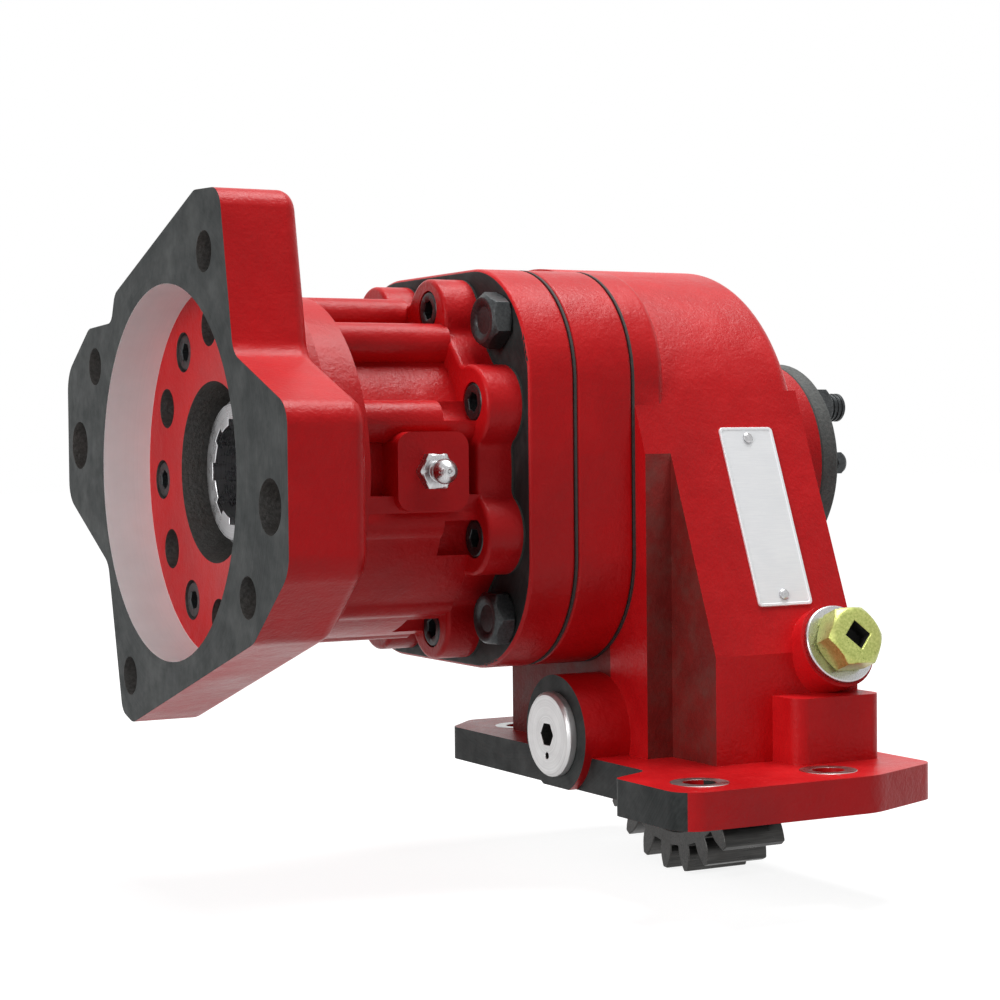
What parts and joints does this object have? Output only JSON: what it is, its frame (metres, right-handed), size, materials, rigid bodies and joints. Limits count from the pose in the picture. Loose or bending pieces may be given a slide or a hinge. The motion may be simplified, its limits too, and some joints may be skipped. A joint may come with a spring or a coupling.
{
  "type": "power take off unit",
  "caption": "Gearbox side-mount power take off with a hydraulic clutch, a pump flange with a splined socket, and a driven gear reaching down through the mounting pad.",
  "frame": {"origin": "middle of the four pad bolts, on the underside of the mounting pad", "axes": "+X along the output shaft away from the pump, +Z away from the gearbox that the pad is bolted to, +Y completes the right-handed set"},
  "size_m": [0.2688, 0.2496, 0.2358],
  "materials": {
    "red_paint": "gloss",
    "steel": "machined",
    "gear_steel": "oiled",
    "black_steel": "blackened",
    "zinc_yellow": "plated",
    "bright_plate": "satin",
    "plug_steel": "bright",
    "cover_alloy": "cast",
    "gasket": "matt",
    "bronze": "machined",
    "friction": "rough"
  },
  "bodies": {
    "housing": {"pump_flange": "red_paint", "pump_flange_screws": "black_steel", "front_cap": "red_paint", "cap_screws": "black_steel", "pressure_fitting": "plug_steel", "adapter_plate": "red_paint", "clutch_housing": "red_paint", "housing_bolts": "black_steel", "main_housing": "red_paint", "side_plug": "zinc_yellow", "side_plug_washer": "steel", "nameplate": "bright_plate", "nameplate_pins": "steel", "idler_plug": "plug_steel", "idler_pin": "steel", "idler_spacers": "steel", "rear_cover": "cover_alloy", "rear_cover_screws": "black_steel", "rear_port_fitting": "black_steel", "shaft_oil_seal": "gasket", "cap_gasket": "gasket", "adapter_gasket": "gasket", "main_gasket": "gasket", "rear_cover_gasket": "gasket", "front_bearing_outer_race": "steel", "front_bearing_ring": "steel", "rear_bearing_outer_race": "steel", "idler_bearing_1_inner_race": "steel", "idler_bearing_2_inner_race": "steel"},
    "input_gear": {"input_gear": "gear_steel", "idler_bearing_1_outer_race": "steel", "idler_bearing_2_outer_race": "steel", "idler_bearing_1_balls": "steel", "idler_bearing_2_balls": "steel"},
    "output_shaft": {"output_shaft": "steel", "front_bearing_inner_race": "steel", "front_bearing_balls": "steel", "rear_bearing_inner_race": "steel", "rear_bearing_balls": "steel", "clutch_drum": "gear_steel", "steel_plate_1": "steel", "steel_plate_2": "steel", "steel_plate_3": "steel", "end_plate": "steel", "end_plate_ring": "steel", "spring_retainer": "steel", "spring_retainer_ring": "steel", "gear_snap_ring": "steel", "thrust_washer_front": "bronze", "thrust_washer_rear": "bronze", "return_spring": "steel"},
    "clutch_gear": {"clutch_gear": "gear_steel", "clutch_gear_bush": "bronze", "friction_disc_1": "friction", "friction_disc_2": "friction", "friction_disc_3": "friction"},
    "clutch_piston": {"clutch_piston": "steel", "piston_seals": "gasket"}
  },
  "joints": [
    {"name": "clutch_gear_spin", "type": "hinge", "parent": "housing", "child": "clutch_gear", "pos_m": [0.0195, 0.05007, 0.11049], "axis": [1, 0, 0], "continuous": true},
    {"name": "input_gear_spin", "type": "hinge", "parent": "housing", "child": "input_gear", "pos_m": [0.0195, 0.006, 0.0185], "axis": [1, 0, 0], "continuous": true},
    {"name": "output_shaft_spin", "type": "hinge", "parent": "housing", "child": "output_shaft", "pos_m": [0, 0.05007, 0.11049], "axis": [1, 0, 0], "continuous": true},
    {"name": "clutch_piston_slide", "type": "slide", "parent": "output_shaft", "child": "clutch_piston", "axis": [1, 0, 0], "range_m": [0, 0.0022], "stiffness_N_per_m": 4000, "springref_m": -0.002, "deforming": ["return_spring"]}
  ],
  "couplings": [
    {"joint": "input_gear_spin", "follows": "clutch_gear_spin", "ratio": -1.125}
  ]
}
